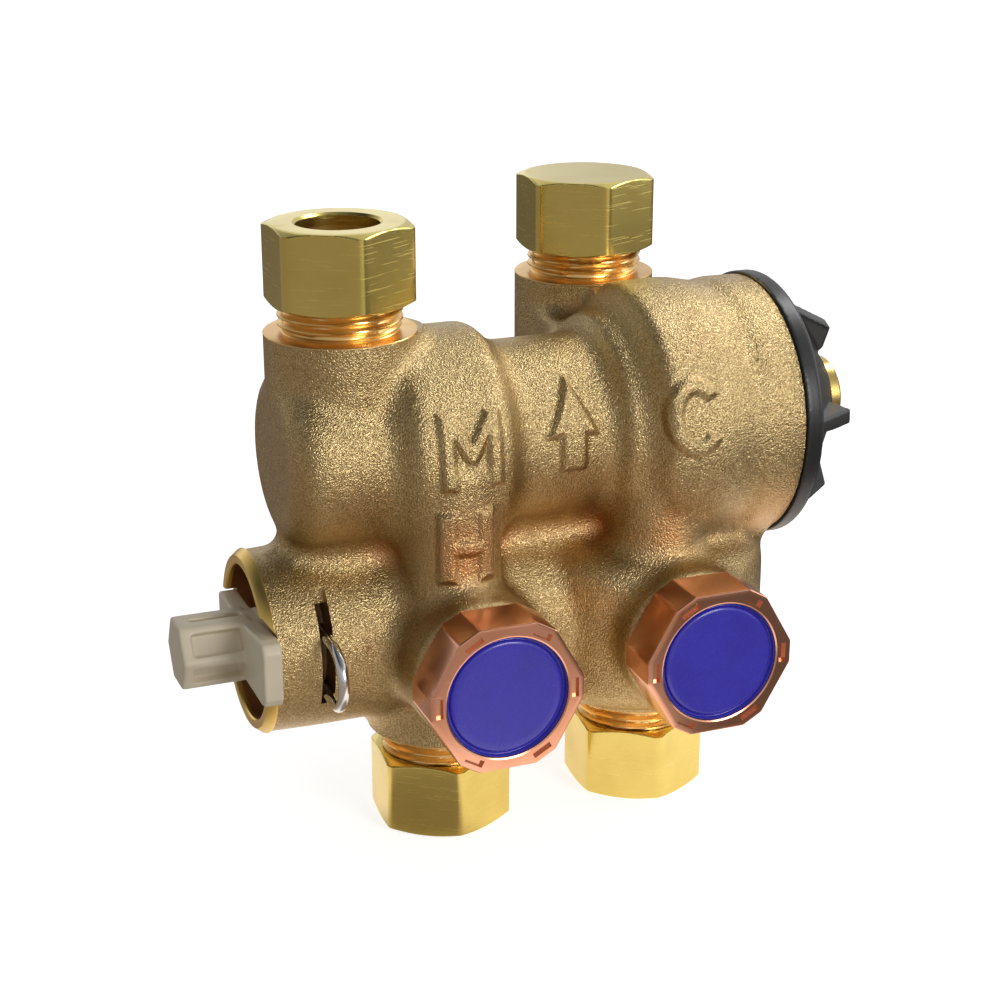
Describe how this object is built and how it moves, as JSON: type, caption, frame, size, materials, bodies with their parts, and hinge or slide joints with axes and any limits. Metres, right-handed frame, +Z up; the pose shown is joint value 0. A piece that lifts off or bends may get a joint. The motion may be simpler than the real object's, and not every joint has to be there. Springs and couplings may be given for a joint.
{
  "type": "mixing valve",
  "caption": "Cast bronze water mixing valve: two parallel barrels, threaded unions above and below, blue-faced hexagon caps in front, a clipped plug and a black temperature knob.",
  "frame": {"origin": "centre of the hot inlet nut's mouth, in the plane of both bottom faces", "axes": "+X along the barrels from the plug to the knob, +Y to the back, +Z up through the outlet"},
  "size_m": [0.1956, 0.1183, 0.1723],
  "materials": {
    "cast_bronze": "sand-cast, fine grain",
    "machined_brass": "turned and lightly scratched",
    "olive_brass": "smooth",
    "fibre": "matt",
    "copper_cap": "polished, copper coloured",
    "blue_disc": "gloss",
    "white_plastic": "satin",
    "seal_rubber": "matt",
    "spring_steel": "bright",
    "element_copper": "smooth",
    "grey_plastic": "moulded, matt",
    "black_plastic": "moulded, semi-gloss"
  },
  "bodies": {
    "valve": {"valve_body": "cast_bronze", "outlet_nut": "machined_brass", "outlet_olive": "olive_brass", "blank_nut": "machined_brass", "blank_disc": "fibre", "hot_inlet_nut": "machined_brass", "hot_inlet_olive": "olive_brass", "cold_inlet_nut": "machined_brass", "cold_inlet_olive": "olive_brass", "hot_check_cap": "copper_cap", "hot_cap_disc": "blue_disc", "hot_check_cage": "white_plastic", "hot_cage_seal": "seal_rubber", "hot_check_spring": "spring_steel", "hot_check_guide": "white_plastic", "hot_strainer": "spring_steel", "cold_check_cap": "copper_cap", "cold_cap_disc": "blue_disc", "cold_check_cage": "white_plastic", "cold_cage_seal": "seal_rubber", "cold_check_spring": "spring_steel", "cold_check_guide": "white_plastic", "cold_strainer": "spring_steel", "flush_plug": "grey_plastic", "plug_seal_outer": "seal_rubber", "plug_seal_inner": "seal_rubber", "cartridge_sleeve": "machined_brass", "sleeve_seal_left": "seal_rubber", "sleeve_seal_middle": "seal_rubber", "sleeve_seal_right": "seal_rubber", "return_spring": "spring_steel", "cold_seat": "machined_brass", "headwork": "machined_brass", "headwork_seal": "seal_rubber"},
    "knob": {"temperature_knob": "black_plastic", "knob_screw": "machined_brass", "spindle": "machined_brass", "spindle_seal": "seal_rubber"},
    "setting": {"setting_carrier": "machined_brass", "overload_plunger": "machined_brass", "overload_spring": "spring_steel"},
    "shuttle": {"shuttle": "white_plastic", "temperature_element": "element_copper"},
    "hot_poppet": {"hot_check_poppet": "white_plastic"},
    "cold_poppet": {"cold_check_poppet": "white_plastic"},
    "clip": {"plug_clip": "spring_steel"}
  },
  "joints": [
    {"name": "knob_turn", "type": "hinge", "parent": "valve", "child": "knob", "pos_m": [0.095, 0.004, 0.1104], "axis": [1, 0, 0], "range_deg": [-160, 160]},
    {"name": "setting_slide", "type": "slide", "parent": "valve", "child": "setting", "axis": [1, 0, 0], "range_m": [-0.00067, 0.00067]},
    {"name": "shuttle_slide", "type": "slide", "parent": "setting", "child": "shuttle", "axis": [1, 0, 0], "range_m": [-0.001, 0], "stiffness_N_per_m": 2000, "springref_m": 0.004, "deforming": ["return_spring"]},
    {"name": "hot_poppet_slide", "type": "slide", "parent": "valve", "child": "hot_poppet", "axis": [0, -1, 0], "range_m": [0, 0.004], "stiffness_N_per_m": 150, "springref_m": -0.004, "deforming": ["hot_check_spring"]},
    {"name": "cold_poppet_slide", "type": "slide", "parent": "valve", "child": "cold_poppet", "axis": [0, -1, 0], "range_m": [0, 0.004], "stiffness_N_per_m": 150, "springref_m": -0.004, "deforming": ["cold_check_spring"]},
    {"name": "clip_pull", "type": "slide", "parent": "valve", "child": "clip", "axis": [0, -1, 0], "range_m": [0, 0.05]}
  ],
  "couplings": [
    {"joint": "setting_slide", "follows": "knob_turn", "m_per_rad": 0.00023873}
  ]
}
